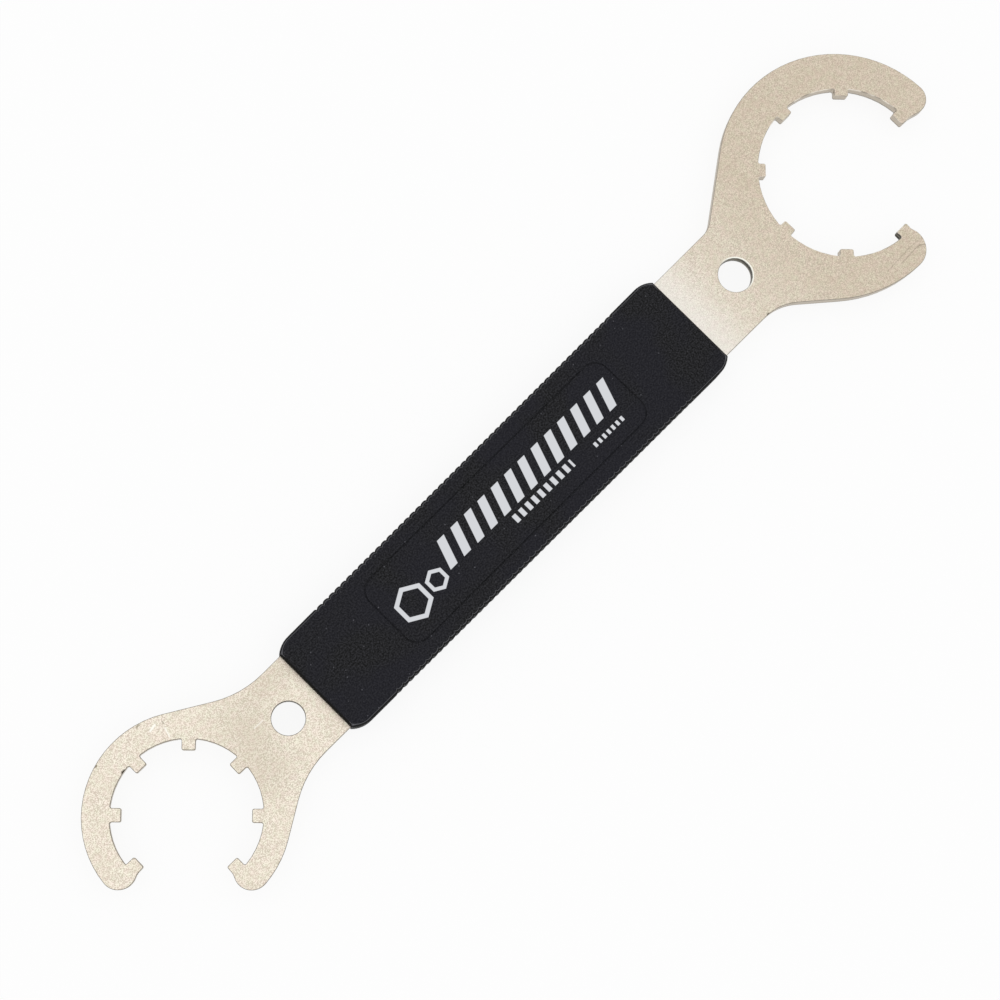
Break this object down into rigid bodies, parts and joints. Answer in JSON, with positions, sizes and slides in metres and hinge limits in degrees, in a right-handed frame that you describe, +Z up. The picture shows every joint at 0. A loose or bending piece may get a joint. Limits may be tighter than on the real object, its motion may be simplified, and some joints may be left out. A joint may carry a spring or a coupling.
{
  "type": "lockring wrench",
  "caption": "Flat steel lockring wrench with open toothed rings of different sizes at its ends, hanging holes and a ribbed moulded grip over the middle.",
  "frame": {"origin": "on the grip's underside, where the wrench rests, midway between the centres of the toothed rings", "axes": "+X along the wrench from the small ring to the big ring, +Y across it away from the rings' mouths, +Z up through the flat of the blade"},
  "size_m": [0.313, 0.0684, 0.009],
  "materials": {
    "blade": "bead-blasted satin plate",
    "grip": "matt black with a fine pebble grain"
  },
  "bodies": {
    "root": {"blade": "blade", "grip": "grip"}
  },
  "joints": []
}
